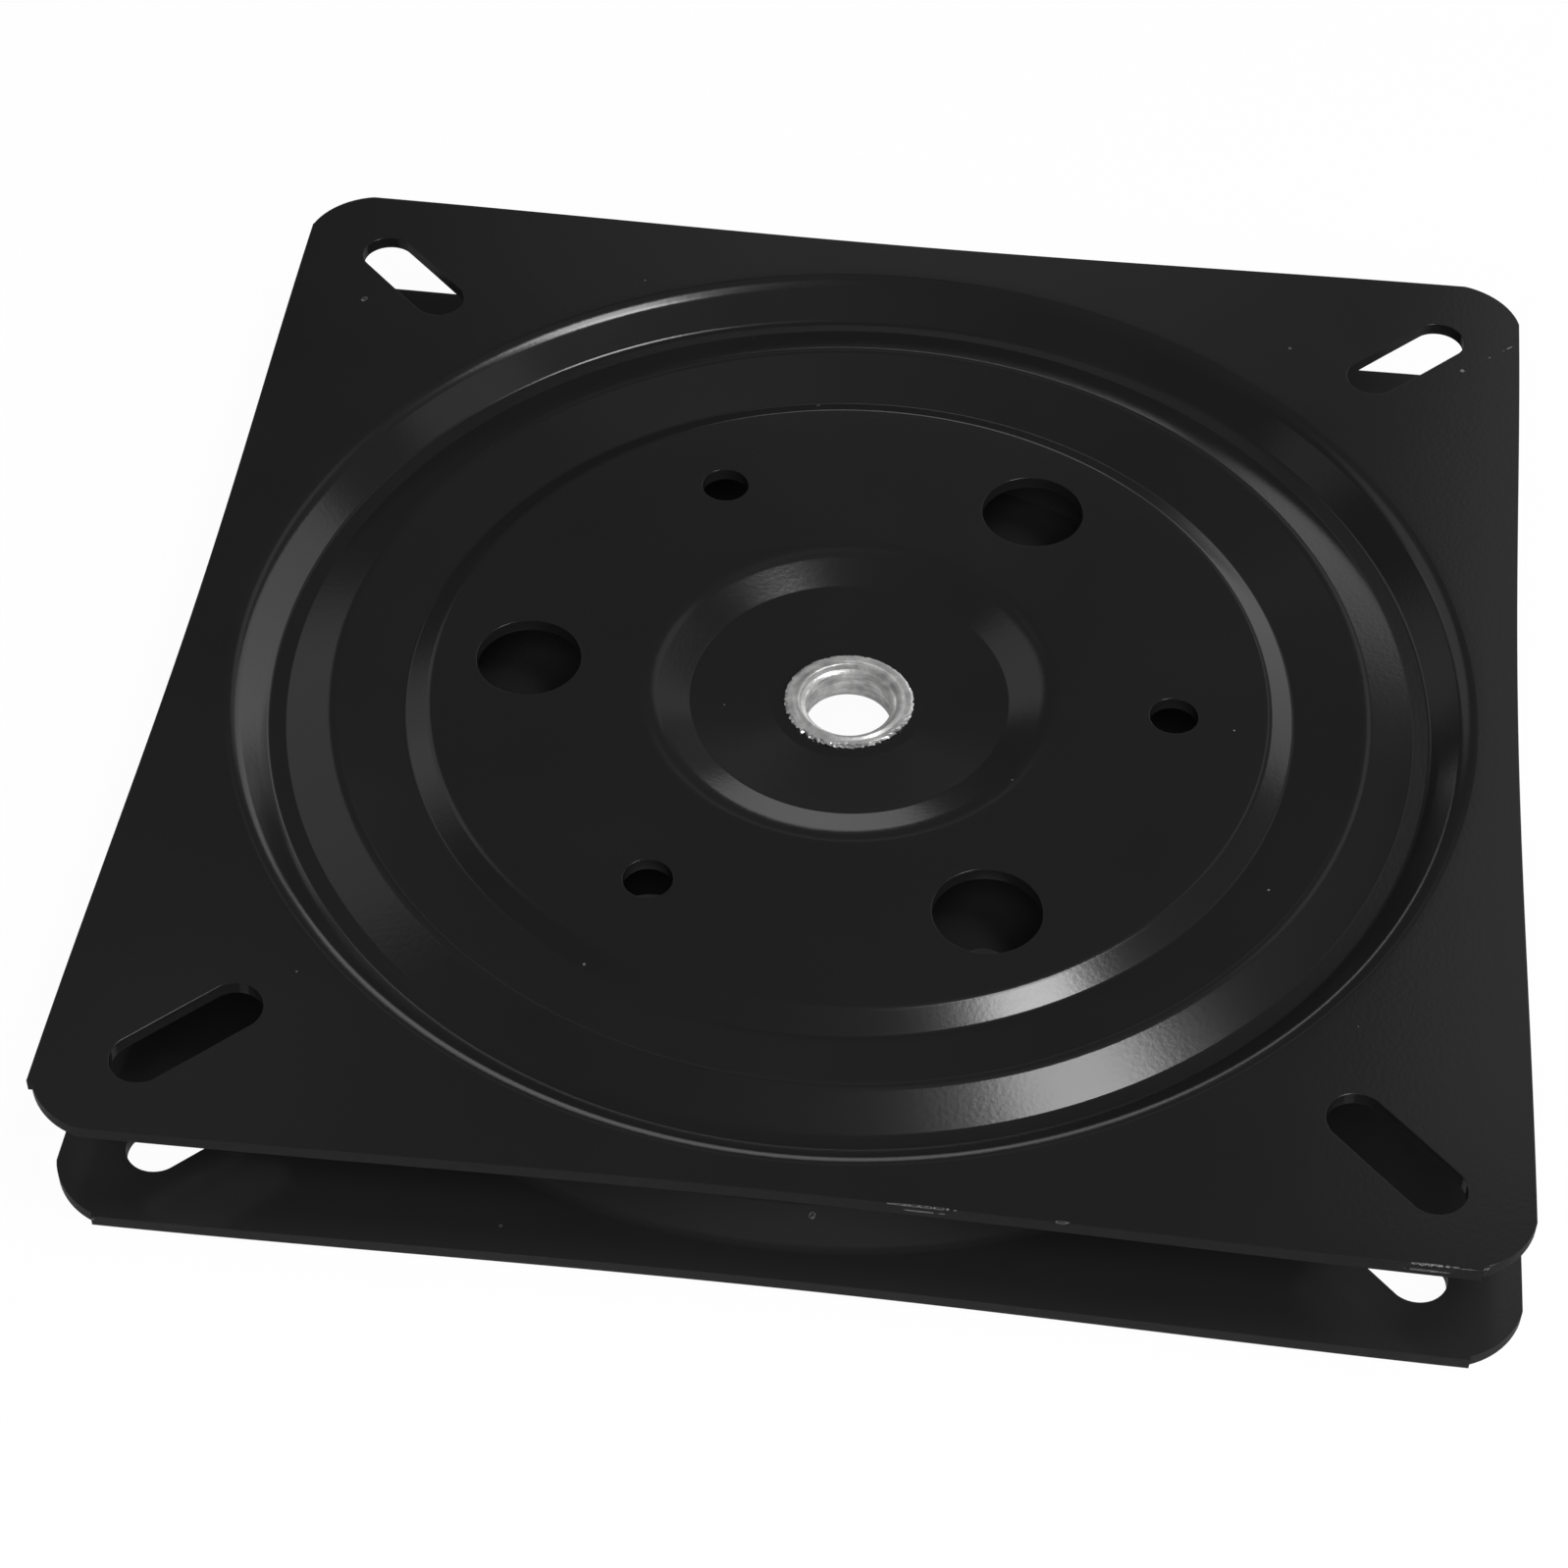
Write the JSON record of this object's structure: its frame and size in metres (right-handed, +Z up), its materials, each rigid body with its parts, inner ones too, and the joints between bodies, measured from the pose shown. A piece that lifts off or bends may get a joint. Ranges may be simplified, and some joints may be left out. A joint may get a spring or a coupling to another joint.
{
  "type": "turntable bearing",
  "caption": "Square swivel plate for a stool: two pressed steel plates with diagonal slots turn on a ring of caged balls about a hollow rivet.",
  "frame": {"origin": "under the middle of the blanks, at the underside of the lower plate's flange; the swivel axis stands 1.7 mm in front of it", "axes": "+Z up along the swivel axis, from the lower plate to the upper plate; X and Y along the plates' sides"},
  "size_m": [0.201, 0.2, 0.0215],
  "materials": {
    "black_paint": "semi-gloss black paint",
    "zinc_steel": "bright zinc plate",
    "ball_steel": "polished steel",
    "cage_nylon": "moulded black nylon",
    "washer_nylon": "plain nylon"
  },
  "bodies": {
    "base": {"lower_plate": "black_paint", "center_rivet": "zinc_steel", "thrust_washer": "washer_nylon"},
    "cage": {"ball_cage": "cage_nylon", "ball_01": "ball_steel", "ball_02": "ball_steel", "ball_03": "ball_steel", "ball_04": "ball_steel", "ball_05": "ball_steel", "ball_06": "ball_steel", "ball_07": "ball_steel", "ball_08": "ball_steel", "ball_09": "ball_steel", "ball_10": "ball_steel", "ball_11": "ball_steel", "ball_12": "ball_steel", "ball_13": "ball_steel", "ball_14": "ball_steel", "ball_15": "ball_steel", "ball_16": "ball_steel", "ball_17": "ball_steel", "ball_18": "ball_steel", "ball_19": "ball_steel", "ball_20": "ball_steel", "ball_21": "ball_steel", "ball_22": "ball_steel", "ball_23": "ball_steel", "ball_24": "ball_steel"},
    "top": {"upper_plate": "black_paint"}
  },
  "joints": [
    {"name": "swivel", "type": "hinge", "parent": "base", "child": "top", "pos_m": [0, -0.0017, 0.01435], "axis": [0, 0, 1], "continuous": true},
    {"name": "cage_orbit", "type": "hinge", "parent": "base", "child": "cage", "pos_m": [0, -0.0017, 0.01075], "axis": [0, 0, 1], "continuous": true}
  ],
  "couplings": [
    {"joint": "cage_orbit", "follows": "swivel", "ratio": 0.5}
  ]
}
